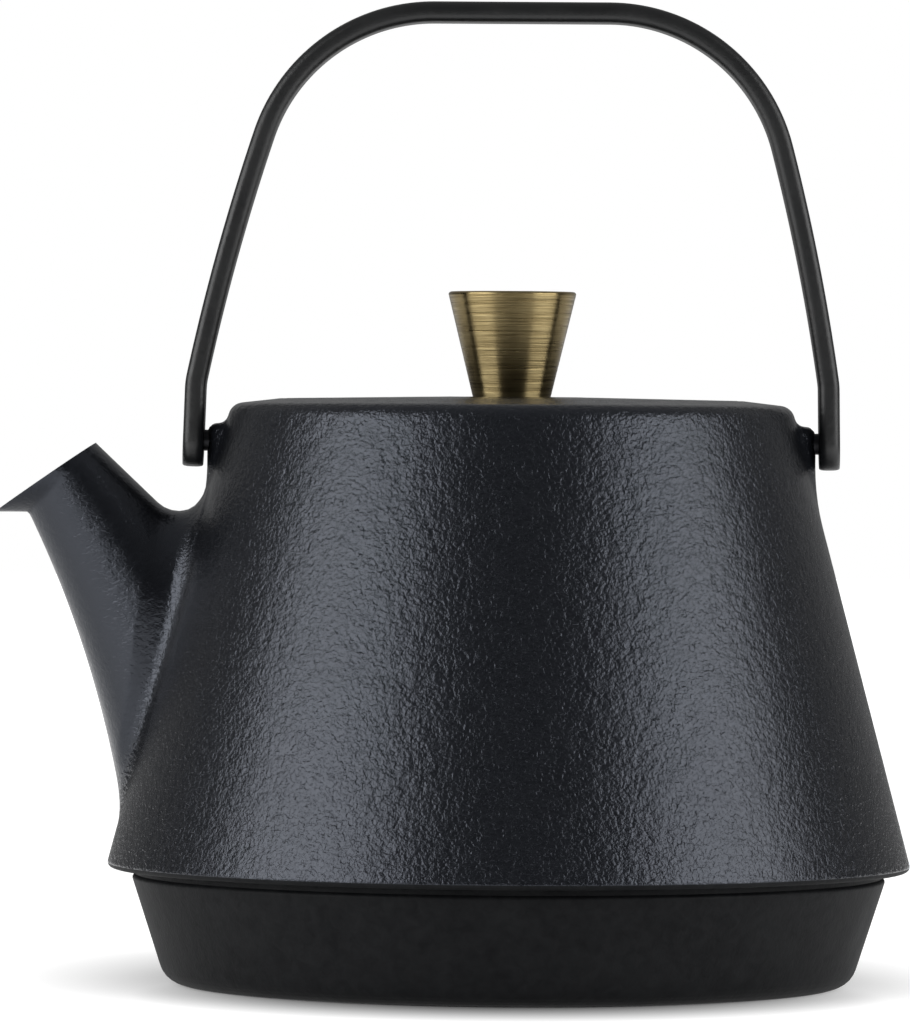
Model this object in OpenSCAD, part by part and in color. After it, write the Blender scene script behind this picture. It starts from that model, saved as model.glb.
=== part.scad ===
// Cast-iron teapot: one hollow casting with a spout and two ears, a lid with a screwed
// brass knob, a flat-bar bail that swings on two studs, and a steel infuser basket.
// The origin is on the pot's axis, on the face it stands on. +Z is up, the spout points to -X.

/* [Casting] */
// Radius of the sharp lower edge of the cone, before it is rounded
belt_r = 76.3; // [72:0.1:80]
// Height of the cone's underside above the table
belt_z = 22; // [18:0.5:26]
// Rounding of the cone's lower edge
belt_round = 1; // [0.5:0.1:2]
// Radius of the shoulder, where the cone's side meets the top
shoulder_r = 53.1; // [50:0.1:58]
// Height of the shoulder above the table
shoulder_z = 109.8; // [100:0.1:120]
// Rounding of the shoulder
shoulder_round = 3; // [1.5:0.1:4]
// Rise of the top from the shoulder to the edge of the lid
top_rise = 1.1; // [0.4:0.1:2]
// Radius of the flat bottom, before its edge is rounded
base_r = 64.8; // [58:0.1:68]
// Radius of the base at its own top edge
base_top_r = 71.5; // [69:0.1:72]
// Rounding of the bottom edge
base_round = 2.2; // [1:0.1:3]
// Rounding of the base's top edge
base_edge_round = 0.6; // [0.3:0.1:1]
// Height of the groove between the base and the cone
groove_h = 1.3; // [0.8:0.1:2]
// Depth of that groove behind the base's top edge
groove_depth = 0.8; // [0.4:0.1:1.5]
// Thickness of the walls and the floor
wall_t = 4; // [3:0.1:5]

/* [Mouth and lid] */
// Radius of the filling hole
mouth_r = 37.5; // [34:0.1:40]
// Width of the ledge round the filling hole
ledge_w = 6; // [4.5:0.1:7]
// Thickness of the casting under the ledge
ledge_t = 3.4; // [2.5:0.1:5]
// Thickness of the lid at its edge
lid_t = 3.2; // [2.4:0.1:5]
// Rise of the lid from its edge to the flat under the knob
lid_crown = 0.5; // [0:0.1:3]
// Gap between the lid's edge and the casting
lid_gap = 0.4; // [0.3:0.05:1]
// Depth of the ring under the lid that keeps it centred
spigot_h = 6; // [3:0.5:9]
// Wall of that ring
spigot_t = 3; // [2:0.1:4]
// Gap between that ring and the infuser's collar
spigot_gap = 0.6; // [0.4:0.1:1]

/* [Knob] */
// Radius of the knob at the lid
knob_base_r = 7.4; // [6:0.1:9]
// Radius of the knob at its top
knob_top_r = 12.1; // [9:0.1:16]
// Height of the knob
knob_h = 19.9; // [14:0.1:28]
// Bevel round the knob's top edge
knob_bevel = 0.5; // [0.2:0.1:1]
// Radius of the screw's shank
screw_r = 2; // [1.5:0.1:2.5]
// Length of the screw inside the knob
screw_reach = 11; // [6:0.5:12]
// Radius of the screw's head
screw_head_r = 3.6; // [3:0.1:4.5]
// Height of the screw's head
screw_head_h = 2.4; // [1.5:0.1:3]
// Radius of the washer under the head
washer_r = 5.2; // [4.8:0.1:6]
// Thickness of that washer
washer_t = 0.8; // [0.5:0.1:1.2]

/* [Bail] */
// Width of the flat bar
bar_w = 10; // [8:0.5:12]
// Thickness of the flat bar
bar_t = 3.9; // [3:0.1:5]
// Height of the bar's middle line above the pivots
bail_h = 81.3; // [74:0.1:95]
// Height of the bend where the arms start to lean inwards
heel_h = 11; // [8:0.2:16]
// Radius of that bend
heel_bend_r = 14; // [10:1:20]
// Lean of the arms below that bend, in degrees
end_lean = 1.4; // [0:0.1:4]
// Extra lean of the ends towards +X, left by bending them by hand, in degrees
end_skew = 0.5; // [0:0.1:1.5]
// Lean of the arms just above that bend, in degrees
arm_lean = 10.1; // [8:0.1:12]
// Extra lean of the arms towards +X, in degrees
arm_skew = 1.8; // [0:0.05:2.5]
// Gentle turn along each arm, in degrees
arm_turn = 6.4; // [4:0.2:9]
// Radius of the two top corners
corner_bend_r = 33.9; // [28:0.1:40]

/* [Pivots] */
// Height of the pivots below the shoulder
pivot_drop = 7; // [6:0.1:10]
// Distance the ears stand out of the cone at the pivots
ear_proud = 2.7; // [2:0.1:4]
// Radius of each ear, seen from above
ear_r = 5.5; // [4.5:0.1:7]
// Height of the ears above the pivots
ear_above = 3.3; // [3:0.1:4]
// Rounding of the top of the ears
ear_round = 2; // [1:0.1:3]
// Radius of the studs
stud_r = 2; // [1.5:0.1:2.5]
// Play of a stud in its ear, on the radius
stud_play = 0.06; // [0.03:0.01:0.1]
// Height of each ear, most of it inside the cone
ear_h = 23.3; // [20:0.1:26]
// Length of a stud inside its ear
stud_reach = 3.8; // [3:0.1:4.2]
// Space left at the end of a stud's hole
stud_end_gap = 0.5; // [0.3:0.1:0.8]
// Gap between an ear and the bail
ear_gap = 0.6; // [0.4:0.1:1.2]

/* [Spout] */
// Distance from the pot's axis to the tip of the spout
spout_reach = 97; // [92:0.5:104]
// Height of the tip of the spout
spout_tip_z = 89.6; // [82:0.2:94]
// Length of the mouth, from the tip to the back
spout_mouth = 21.4; // [18:0.2:25]
// Slope of the mouth, in degrees
spout_mouth_slope = 33.4; // [26:0.2:40]
// Length of the flat pouring lip
spout_lip = 5.4; // [4:0.1:7]
// Height at which the front of the spout leaves the body
spout_foot_z = 33; // [28:0.5:42]
// Lean of the spout's front at its foot, in degrees
spout_foot_lean = 9; // [4:0.5:14]
// Lean of the spout's front under the lip, in degrees
spout_lip_lean = 25; // [20:0.5:32]
// Fall of the spout's back from the mouth to the body, in degrees
spout_back_fall = 41; // [36:0.5:46]
// Radius of the fillet between the spout's back and the body
spout_fillet = 6; // [4:0.5:8]
// Half of the spout's width at the body
spout_root_w = 11; // [9:0.5:14]
// Half of the spout's width at the mouth
spout_mouth_w = 7.6; // [6.5:0.1:9]
// Wall of the spout at the mouth
spout_wall = 2; // [1.5:0.1:3]

/* [Infuser] */
// Thickness of the infuser's sheet
sheet_t = 0.6; // [0.4:0.1:1]
// Thickness of the infuser's rim
rim_t = 0.8; // [0.6:0.1:1.5]
// Gap between the infuser's rim and the casting
rim_gap = 0.5; // [0.4:0.1:1]
// Gap between the collar and the filling hole
collar_gap = 0.7; // [0.5:0.1:1.5]
// Height of the collar under the rim
collar_h = 7; // [5:0.5:10]
// Depth of the basket below the ledge
basket_h = 60; // [40:1:75]
// Height of the band round the basket's floor
band_h = 4; // [3:0.5:6]
// Width of the slots in the basket
slot_w = 2; // [1:0.1:3]
// Gap between two rows of slots
slot_gap = 3; // [2:0.5:6]
// Columns of slots round the basket
slot_columns = 20; // [12:1:28]
// Rows of slots down the basket
slot_rows = 5; // [2:1:6]
// Radius of the holes in the floor
hole_r = 1.2; // [0.8:0.1:1.6]
// Rings of holes in the floor
floor_rings = 3; // [1:1:4]

/* [Hidden] */
$fn = 96;
arc_steps = 6;
arc_degrees = 3;
cut = 1;
weld = 0.05;
fit = 0.05;

// Casting
cone_slope = (belt_r - shoulder_r) / (shoulder_z - belt_z);
function cone_r(z) = belt_r - cone_slope * (z - belt_z);
side_t = wall_t * norm([1, cone_slope]);
base_top_z = belt_z - groove_h;
groove_r = base_top_r - groove_depth;

// Mouth, from the top down
seat_r = mouth_r + ledge_w;
rim_z = shoulder_z + top_rise;
ledge_z = rim_z - lid_t - rim_t;
roof_z = ledge_z - ledge_t;
lid_r = seat_r - lid_gap;
lid_z = ledge_z + rim_t;
knob_z = rim_z + lid_crown;

// Infuser
rim_r = seat_r - rim_gap;
collar_r = mouth_r - collar_gap;
basket_r = collar_r - sheet_t - fit;
basket_z = ledge_z - basket_h;
floor_r = basket_r - sheet_t - fit;
spigot_r = basket_r - sheet_t - spigot_gap;
slot_low_z = basket_z + band_h + slot_gap;
slot_pitch_z = (ledge_z - collar_h - slot_low_z) / slot_rows;
floor_pitch = floor_r / (floor_rings + 1);
floor_hole_pitch = 9;

// Knob and its screw
screw_play = 0.05;
boss_r = washer_r + 1;
boss_h = 1;
screw_seat_z = lid_z - boss_h;
screw_hole_r = screw_r + 0.2;
thread_end_gap = 1;

// Pivots and bail
pivot_z = shoulder_z - pivot_drop;
ear_x = cone_r(pivot_z) + ear_proud;
ear_top_z = pivot_z + ear_above;
ear_low_z = ear_top_z - ear_h;
bail_x = ear_x + ear_gap + bar_t / 2;
stud_bevel = 0.3;

// Spout, in the plane y = 0: [x, z]
spout_rings = 8;
spout_sides = 20;
lip_droop = 7;
lip_sharp = 0.5;
widest = 0.64;
root_depth = 8;
root_sink = 0.6;
root_share = 0.12;
mouth_step = 0.06;
channel_start = 0.24;
channel_past = 4;
function lean_dir(lean) = [-sin(lean), cos(lean)];
mouth_dir = [cos(spout_mouth_slope), sin(spout_mouth_slope)];
tip = [-spout_reach, spout_tip_z];
back_corner = tip + spout_mouth * mouth_dir;
foot = [root_sink - cone_r(spout_foot_z), spout_foot_z];
lip_root = tip + spout_lip * [cos(lip_droop), -sin(lip_droop)];
back_dir = [cos(spout_back_fall), -sin(spout_back_fall)];
cone_dir = [cone_slope, 1] / norm([cone_slope, 1]);

// ---------- helpers ----------

function unit(v) = v / norm(v);
function cross2(a, b) = a[0] * b[1] - a[1] * b[0];

// The point where the line from p along u meets the line from q along v
function meet(p, u, q, v) = p + u * cross2(q - p, v) / cross2(u, v);

// A corner at q between p and s, rounded to radius r
function round_corner(p, q, s, r) =
    let (u = unit(p - q), v = unit(s - q),
         half = acos(u * v) / 2,
         centre = q + unit(u + v) * r / sin(half),
         from = q + u * r / tan(half) - centre,
         a0 = atan2(from[1], from[0]),
         sweep = sign(cross2(u, v)) * (2 * half - 180))
    [for (i = [0 : arc_steps])
        let (a = a0 + sweep * i / arc_steps)
        centre + r * [cos(a), sin(a)]];

// A closed outline from [x, y, rounding] corners
function rounded(path) =
    [for (i = [0 : len(path) - 1])
        let (n = len(path), c = path[i], q = [c[0], c[1]],
             a = path[(i + n - 1) % n], b = path[(i + 1) % n])
        each (c[2] == 0 ? [q] : round_corner([a[0], a[1]], q, [b[0], b[1]], c[2]))];

function bezier(a, b, c, t) = (1 - t) * (1 - t) * a + 2 * t * (1 - t) * b + t * t * c;

module disc(r, z0, z1) {
    translate([0, 0, z0])
        cylinder(r = r, h = z1 - z0);
}

module tube(r_out, r_in, z0, z1) {
    difference() {
        disc(r_out, z0, z1);
        disc(r_in, z0 - cut, z1 + cut);
    }
}

// A solid through closed rings of points, all with the same count
module loft(rings) {
    n = len(rings[0]);
    last = len(rings) - 1;
    points = [for (ring = rings) each ring];
    sides = [for (k = [0 : last - 1], i = [0 : n - 1])
        let (j = (i + 1) % n)
        each [[k * n + i, k * n + j, (k + 1) * n + j],
              [k * n + i, (k + 1) * n + j, (k + 1) * n + i]]];
    start = [[for (i = [n - 1 : -1 : 0]) i]];
    end = [[for (i = [0 : n - 1]) last * n + i]];
    polyhedron(points = points, faces = concat(sides, start, end));
}

// ---------- casting ----------

module casting_outside() {
    rotate_extrude()
        polygon(rounded([
            [0, 0, 0],
            [base_r, 0, base_round],
            [base_top_r, base_top_z, base_edge_round],
            [groove_r, base_top_z, 0],
            [groove_r, belt_z, 0],
            [belt_r, belt_z, belt_round],
            [shoulder_r, shoulder_z, shoulder_round],
            [seat_r, rim_z, 0],
            [0, rim_z, 0]]));
}

module cavity() {
    base_in_r = base_r + (base_top_r - base_r) * wall_t / base_top_z - wall_t;
    step_z = belt_z + wall_t;
    rotate_extrude()
        polygon(rounded([
            [0, wall_t, 0],
            [base_in_r, wall_t, wall_t],
            [groove_r - wall_t, belt_z, wall_t],
            [cone_r(step_z) - side_t, step_z, wall_t / 2],
            [cone_r(roof_z) - side_t, roof_z, shoulder_round],
            [0, roof_z, 0]]));
    disc(mouth_r, roof_z - cut, ledge_z + cut);
    disc(seat_r, ledge_z, rim_z + cut);
}

module ear() {
    translate([ear_x - ear_r, 0, ear_low_z])
        rotate_extrude()
            union() {
                square([ear_r - ear_round, ear_top_z - ear_low_z]);
                square([ear_r, ear_top_z - ear_low_z - ear_round]);
                translate([ear_r - ear_round, ear_top_z - ear_low_z - ear_round])
                    circle(ear_round);
            }
}

module stud_hole() {
    depth = stud_reach + stud_end_gap;
    translate([ear_x - depth, 0, pivot_z])
        rotate([0, 90, 0])
            cylinder(r = stud_r + stud_play, h = depth + cut);
}

// ---------- spout ----------

// Front edge of the spout, from its foot to under the lip
function spout_front(t) =
    let (bend = meet(foot, lean_dir(spout_foot_lean), lip_root, lean_dir(spout_lip_lean)))
    bezier(foot, bend, lip_root, t);

// Back edge: straight from the mouth, then a fillet that ends just under the cone's surface
back_meet = meet(back_corner, back_dir, [root_sink - cone_r(0), 0], cone_dir);
back_fillet = round_corner(back_corner, back_meet, back_meet + cone_dir, spout_fillet);
back_end = back_fillet[0];
function spout_back(t) = back_end + (back_corner - back_end) * t;

// One ring across the spout, from its front edge f to its back edge b.
// sharp is 0 for a round front and 1 for a pointed one.
function spout_ring(f, b, w, sharp, inset = 0) =
    let (u = unit(b - f), f2 = f + u * inset, b2 = b - u * inset, w2 = w - inset)
    [for (i = [0 : spout_sides - 1])
        let (a = 360 * i / spout_sides,
             s = cos(a) > 0 ? widest * (1 - cos(a)) : widest - (1 - widest) * cos(a),
             y = cos(a) > 0 ? sign(sin(a)) * pow(abs(sin(a)), 1 + sharp) : sin(a),
             p = f2 + s * (b2 - f2))
        [p[0], w2 * y, p[1]]];

function spout_w(t) = spout_root_w + (spout_mouth_w - spout_root_w) * t;

module spout_outside() {
    inward = [root_depth, 0];
    loft(concat(
        [spout_ring(foot + inward, back_fillet[arc_steps] + inward, spout_root_w, 0)],
        [for (i = [arc_steps : -2 : 2])
            spout_ring(spout_front((1 - i / arc_steps) * root_share), back_fillet[i],
                       spout_root_w, 0)],
        [for (i = [0 : spout_rings])
            let (t = i / spout_rings)
            spout_ring(spout_front(root_share + (1 - root_share) * t),
                       spout_back(t * (1 - mouth_step)), spout_w(t), lip_sharp * t * t)],
        [spout_ring(tip, back_corner, spout_mouth_w, lip_sharp)]));
}

module spout_channel() {
    out = channel_past * [-mouth_dir[1], mouth_dir[0]];
    inward = [3 * wall_t, 0];
    loft(concat(
        [spout_ring(spout_front(channel_start) + inward,
                    back_fillet[arc_steps] + inward - [0, 2 * wall_t], spout_root_w, 0, wall_t)],
        [for (i = [0 : spout_rings])
            let (t = i / spout_rings,
                 f = spout_front(channel_start + (1 - channel_start) * t),
                 b = spout_back(t * (1 - mouth_step)))
            spout_ring(f, b, spout_w(t), lip_sharp * t * t,
                       wall_t + (spout_wall - wall_t) * t)],
        [spout_ring(tip + out, back_corner + out, spout_mouth_w, lip_sharp, spout_wall)]));
}

module pot_body() {
    color([0.12, 0.13, 0.14])
        difference() {
            union() {
                casting_outside();
                ear();
                mirror([1, 0, 0])
                    ear();
            }
            cavity();
            stud_hole();
            mirror([1, 0, 0])
                stud_hole();
            spout_channel();
        }
}

// The spout's part of the casting, outside the cone
module spout() {
    color([0.12, 0.13, 0.14])
        difference() {
            spout_outside();
            casting_outside();
            spout_channel();
        }
}

// ---------- lid ----------

module lid() {
    color([0.13, 0.14, 0.15])
        difference() {
            union() {
                rotate_extrude()
                    polygon([[0, lid_z], [lid_r, lid_z], [lid_r, rim_z],
                             [knob_top_r, knob_z], [0, knob_z]]);
                tube(spigot_r, spigot_r - spigot_t, lid_z - spigot_h, lid_z + weld);
                disc(boss_r, lid_z - boss_h, lid_z + weld);
            }
            disc(screw_hole_r, lid_z - spigot_h, knob_z + cut);
        }
}

module lid_knob() {
    bore_h = screw_reach + thread_end_gap;
    color([0.62, 0.5, 0.28])
        translate([0, 0, knob_z])
            difference() {
                rotate_extrude()
                    polygon([[0, 0], [knob_base_r, 0], [knob_top_r, knob_h - knob_bevel],
                             [knob_top_r - knob_bevel, knob_h], [0, knob_h]]);
                disc(screw_r + screw_play, -cut, bore_h);
            }
}

module knob_screw() {
    socket_r = screw_head_r / 2;
    head_z = screw_seat_z - washer_t;
    color([0.7, 0.7, 0.72])
        difference() {
            union() {
                disc(screw_r, head_z - weld, knob_z + screw_reach);
                disc(screw_head_r, head_z - screw_head_h, head_z);
            }
            translate([0, 0, head_z - screw_head_h - cut])
                cylinder(r = socket_r, h = screw_head_h / 2 + cut, $fn = 6);
        }
}

module knob_washer() {
    color([0.72, 0.72, 0.74])
        tube(washer_r, screw_hole_r, screw_seat_z - washer_t, screw_seat_z);
}

// ---------- bail ----------

// Leans of the arm on that side: of its end, and just above the bend at its heel
function end_of(side) = end_lean - side * end_skew;
function lean_of(side) = arm_lean - side * arm_skew;

// Length of the end above the pivot, and the radius of the long bend above the heel
function heel_start(end, a0) = heel_h - heel_bend_r * tan((a0 - end) / 2);
function arm_long_r(end, a0) =
    let (a1 = a0 + arm_turn)
    (bail_h - corner_bend_r * (1 - sin(a1)) - heel_start(end, a0) * cos(end)
        - heel_bend_r * (sin(a0) - sin(end))) / (sin(a1) - sin(a0));

// Points along an arc in the plane y = 0, angles from +X towards +Z
function arc(centre, r, a0, a1) =
    let (n = ceil((a1 - a0) / arc_degrees))
    [for (i = [0 : n]) let (a = a0 + (a1 - a0) * i / n) centre + r * [cos(a), sin(a)]];

// One arm from below its pivot to the top, on the line that lies out from the middle line
function arm_line(end, a0, out) =
    let (a1 = a0 + arm_turn, long_r = arm_long_r(end, a0),
         pivot = [bail_x, pivot_z], outwards = [cos(end), sin(end)],
         foot = pivot - (bar_w / 2 + cut) * lean_dir(end),
         heel = pivot + heel_start(end, a0) * lean_dir(end) - heel_bend_r * outwards,
         middle = heel + (heel_bend_r - long_r) * [cos(a0), sin(a0)],
         corner = middle + (long_r - corner_bend_r) * [cos(a1), sin(a1)])
    concat([foot + out * outwards],
           arc(heel, heel_bend_r + out, end, a0),
           arc(middle, long_r + out, a0, a1),
           arc(corner, corner_bend_r + out, a1, 90));

function reversed(list) = [for (i = [len(list) - 1 : -1 : 0]) list[i]];
function mirrored(line) = [for (p = line) [-p[0], p[1]]];

// The whole bail on that line, from the right end over the top to the left one
function bail_line(out) =
    concat(arm_line(end_of(1), lean_of(1), out),
           reversed(mirrored(arm_line(end_of(-1), lean_of(-1), out))));

module bail() {
    reach = bail_x + bar_t;
    color([0.14, 0.14, 0.15])
        difference() {
            intersection() {
                rotate([90, 0, 0])
                    linear_extrude(bar_w + 2 * cut, center = true)
                        polygon(concat(bail_line(bar_t / 2), reversed(bail_line(-bar_t / 2))));
                union() {
                    translate([0, 0, pivot_z])
                        rotate([0, 90, 0])
                            cylinder(r = bar_w / 2, h = 2 * reach, center = true);
                    translate([-reach, -bar_w / 2, pivot_z])
                        cube([2 * reach, bar_w, bail_h + bar_t]);
                }
            }
            for (side = [-1, 1])
                translate([side * bail_x, 0, pivot_z])
                    rotate([0, 90, 0])
                        cylinder(r = stud_r, h = bar_t + 2 * cut, center = true);
        }
}

module pivot_stud(side) {
    length = stud_reach + ear_gap + bar_t;
    color([0.2, 0.2, 0.21])
        translate([side * (ear_x - stud_reach), 0, pivot_z])
            rotate([0, side * 90, 0])
                rotate_extrude()
                    polygon([[0, 0], [stud_r - stud_bevel, 0], [stud_r, stud_bevel],
                             [stud_r, length], [0, length]]);
}

// ---------- infuser ----------

module infuser_rim() {
    color([0.78, 0.78, 0.8]) {
        union() {
            tube(rim_r, collar_r - sheet_t, ledge_z, ledge_z + rim_t);
            tube(collar_r, collar_r - sheet_t, ledge_z - collar_h, ledge_z + weld);
        }
    }
}

module infuser_wall() {
    color([0.74, 0.74, 0.76])
        difference() {
            tube(basket_r, basket_r - sheet_t, basket_z, ledge_z);
            for (row = [0 : slot_rows - 1], i = [0 : slot_columns - 1])
                rotate([0, 0, 360 * (i + (row % 2) / 2) / slot_columns])
                    translate([basket_r - 2 * sheet_t, -slot_w / 2,
                               slot_low_z + row * slot_pitch_z])
                        cube([4 * sheet_t, slot_w, slot_pitch_z - slot_gap]);
        }
}

module infuser_floor() {
    color([0.74, 0.74, 0.76])
        difference() {
            disc(floor_r, basket_z, basket_z + sheet_t);
            for (ring = [1 : floor_rings])
                let (r = ring * floor_pitch, count = floor(2 * PI * r / floor_hole_pitch))
                for (i = [0 : count - 1])
                    rotate([0, 0, 360 * i / count])
                        translate([r, 0, basket_z - cut])
                            cylinder(r = hole_r, h = sheet_t + 2 * cut);
        }
}

module infuser_band() {
    color([0.78, 0.78, 0.8])
        tube(basket_r + fit + sheet_t, basket_r + fit, basket_z, basket_z + band_h);
}

pot_body();
spout();
lid();
lid_knob();
knob_screw();
knob_washer();
bail();
pivot_stud(-1);  // pivot_stud_left
pivot_stud(1);  // pivot_stud_right
infuser_rim();
infuser_wall();
infuser_floor();
infuser_band();
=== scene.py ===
"""The looks of a cast-iron teapot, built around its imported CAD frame.

Shapes are written in millimetres and turned into metres where a mesh is made. Materials,
lights and the camera are in metres.
+Z is up, the spout points to -X and the camera looks along +Y.
"""
import math
from collections import namedtuple

import bmesh
import bpy
import numpy as np
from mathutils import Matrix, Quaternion, Vector, noise


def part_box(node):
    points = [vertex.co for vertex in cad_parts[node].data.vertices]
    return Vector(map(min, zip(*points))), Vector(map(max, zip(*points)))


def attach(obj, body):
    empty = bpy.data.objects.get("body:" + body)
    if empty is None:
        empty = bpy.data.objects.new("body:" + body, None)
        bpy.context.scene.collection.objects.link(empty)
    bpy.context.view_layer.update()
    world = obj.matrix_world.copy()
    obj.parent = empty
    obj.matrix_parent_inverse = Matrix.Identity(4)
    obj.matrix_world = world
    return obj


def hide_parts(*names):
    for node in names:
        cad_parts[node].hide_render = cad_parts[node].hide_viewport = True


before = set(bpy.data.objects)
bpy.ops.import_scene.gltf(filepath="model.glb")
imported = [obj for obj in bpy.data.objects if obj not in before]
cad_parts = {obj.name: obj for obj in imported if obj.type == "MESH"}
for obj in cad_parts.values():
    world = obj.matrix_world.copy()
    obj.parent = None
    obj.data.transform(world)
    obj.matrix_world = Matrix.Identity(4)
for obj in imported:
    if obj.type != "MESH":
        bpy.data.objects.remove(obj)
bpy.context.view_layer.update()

MM = 0.001

# ---------- sizes of the object, in millimetres ----------

# Casting: a cone over a stepped base. The belt is the cone's foot.
BELT_R, BELT_Z, BELT_ROUND = 76.3, 22.0, 1.0
SHOULDER_R, SHOULDER_Z, SHOULDER_ROUND = 53.1, 109.8, 3.0
BASE_R, BASE_TOP_R, BASE_ROUND, BASE_EDGE_ROUND = 64.8, 71.5, 5.0, 0.6
GROOVE_H, GROOVE_DEPTH = 1.3, 0.8
WALL_T, LEDGE_T, LEDGE_ROUND, SEAT_ROUND = 4.0, 3.4, 0.4, 0.3
MOUTH_R, SEAT_R = 37.5, 43.5
EDGE_BREAK = 0.35
CONE_SLOPE = (BELT_R - SHOULDER_R) / (SHOULDER_Z - BELT_Z)
BASE_TOP_Z = BELT_Z - GROOVE_H
GROOVE_R = BASE_TOP_R - GROOVE_DEPTH

# What the frame says about the casting and the lid. The infuser's rim lies on the ledge.
INFUSER_RIM_T = 0.8
RIM_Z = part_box("pot_body")[1].z / MM
LID_LOW_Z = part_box("infuser_rim")[1].z / MM
LEDGE_Z = LID_LOW_Z - INFUSER_RIM_T
LID_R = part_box("lid")[1].x / MM
LID_TOP_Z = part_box("lid")[1].z / MM
SPIGOT_LOW_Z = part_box("lid")[0].z / MM

# Ears and pivots
EAR_X, EAR_R, EAR_ROUND = 57.65, 5.5, 2.0
PIVOT_Z, EAR_TOP_Z, EAR_LOW_Z = 102.8, 106.1, 85.0
STUD_R, STUD_PLAY, STUD_HOLE_DEPTH, EAR_GAP = 2.0, 0.06, 4.3, 0.6
PIN_SIDES = 32

# Lid: a plate with a ring under it, and a boss under its screw
LID_EDGE, SCREW_HOLE_R = 0.5, 2.2
SPIGOT_R, SPIGOT_T, BOSS_R, BOSS_H = 34.95, 3.0, 6.2, 1.0

# Knob
KNOB_BASE_R, KNOB_TOP_R, KNOB_H, KNOB_BEVEL = 7.4, 12.1, 19.9, 0.5
KNOB_BORE_R, KNOB_BORE_H, KNOB_CHAMFER = 2.05, 12.0, 0.3
TURNED_PITCH, TURNED_DEPTH, TURNED_WAVE = 0.5, 0.02, 1.7

# Bail: a flat bar bent over the pot, its leans in degrees
BAR_W, BAR_T, BAR_EDGE, END_SQUARE = 10.0, 3.9, 1.4, 0.75
BAIL_X, BAIL_H, HEEL_H = EAR_X + EAR_GAP + BAR_T / 2, 81.3, 11.0
HEEL_BEND_R, CORNER_BEND_R = 14.0, 33.9
END_LEAN, END_SKEW, ARM_LEAN, ARM_SKEW, ARM_TURN = 1.4, 0.5, 10.1, 1.8, 6.4

# Infuser wall: a punched sheet
SHEET_T, PUNCHED_ROWS, PUNCHED_COLUMNS, PUNCHED_R = 0.6, 17, 84, 0.8
BASKET_R, PUNCHED_LOW_Z, PUNCHED_HIGH_Z = 36.15, 53.9, 99.9

# Spout, in the plane y = 0: its mouth, front and back edges (angles in degrees), widths and walls,
# and the shares of its length or section where something changes
SPOUT_TIP, TIP_X = np.array([-97.95, 88.95]), -96.97
SPOUT_MOUTH, SPOUT_MOUTH_SLOPE, SPOUT_LIP = 23.3, 34.6, 6.5
SPOUT_FOOT_Z, FOOT_LEAN, LIP_LEAN = 33.0, 9.6, 26.3
BACK_FALL, BACK_FILLET = 43.5, 5.8
ROOT_W, MOUTH_W, SPOUT_WALL = 11.0, 7.6, 2.0
LIP_SHARP, WIDEST = 0.5, 0.64
ROOT_SHARE, MOUTH_STEP, CHANNEL_START, ROOT_DEPTH = 0.12, 0.06, 0.24, 10.0
SPOUT_BLEND, EAR_BLEND, MOUTH_SPARE = 3.0, 1.6, 1.5
FILLET_STEPS, SPOUT_STEPS, CUT_SPARE = 8, 33, 6.0

# Grid: half the angle (radians) of spout and ears, and a height in the base's rounding
SPOUT_ANGLE, BASE_CURVE_Z = 0.30, 2.0

# ---------- small helpers ----------


def unit(v):
    """The vector at length 1."""
    return v / np.linalg.norm(v)


def turned(degrees):
    """The unit vector at that angle from +x towards +z."""
    return np.array([math.cos(math.radians(degrees)), math.sin(math.radians(degrees))])


def cross2(a, b):
    """The cross product of two flat vectors."""
    return a[0] * b[1] - a[1] * b[0]


def meet(p, u, q, v):
    """Where the line from p along u meets the line from q along v."""
    return p + u * cross2(q - p, v) / cross2(u, v)


def round_corner(p, q, s, radius, steps):
    """Points along the arc that rounds the corner at q between p and s."""
    u, v = unit(p - q), unit(s - q)
    half = math.acos(float(np.dot(u, v))) / 2
    centre = q + unit(u + v) * radius / math.sin(half)
    start = q + u * radius / math.tan(half) - centre
    sweep = math.copysign(math.pi - 2 * half, -cross2(u, v))
    first = math.atan2(start[1], start[0])
    turns = [first + sweep * i / steps for i in range(steps + 1)]
    return [centre + radius * np.array([math.cos(a), math.sin(a)]) for a in turns]


def rounded(corners, steps=6):
    """A closed outline through (x, z, rounding) corners, with an arc at each rounded one."""
    points = []
    for i, (x, z, radius) in enumerate(corners):
        q = np.array([x, z])
        if radius == 0:
            points.append(q)
            continue
        p = np.array(corners[i - 1][:2])
        s = np.array(corners[(i + 1) % len(corners)][:2])
        points += round_corner(p, q, s, radius, steps)
    return np.array(points)


def graded(low, high, coarse, fine, places, reach):
    """Rising numbers from low to high, fine steps near the places and coarse ones elsewhere."""
    values = [low]
    while values[-1] < high:
        gap = min(abs(values[-1] - p) for p in places)
        share = min(max(gap / reach - 1, 0), 1)
        values.append(values[-1] + fine + (coarse - fine) * share)
    return np.array(values)


def smooth_min(a, b, k):
    """The lesser of two distances, blended where they differ by less than k."""
    h = np.clip(k - np.abs(a - b), 0, None) / k
    return np.minimum(a, b) - h * h * k / 4


def smooth_step(low, high, x):
    """Rises smoothly from 0 at low to 1 at high."""
    t = np.clip((x - low) / (high - low), 0, 1)
    return t * t * (3 - 2 * t)


def make_mesh(name, points_mm, faces, sharp_angle=35):
    """A smooth-shaded mesh object, with edges sharper than sharp_angle kept sharp."""
    mesh = bpy.data.meshes.new(name)
    mesh.from_pydata((np.asarray(points_mm) * MM).tolist(), [], faces)
    piece = bpy.data.objects.new(name, mesh)
    bpy.context.scene.collection.objects.link(piece)
    finish_mesh(piece, sharp_angle)
    return piece


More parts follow.
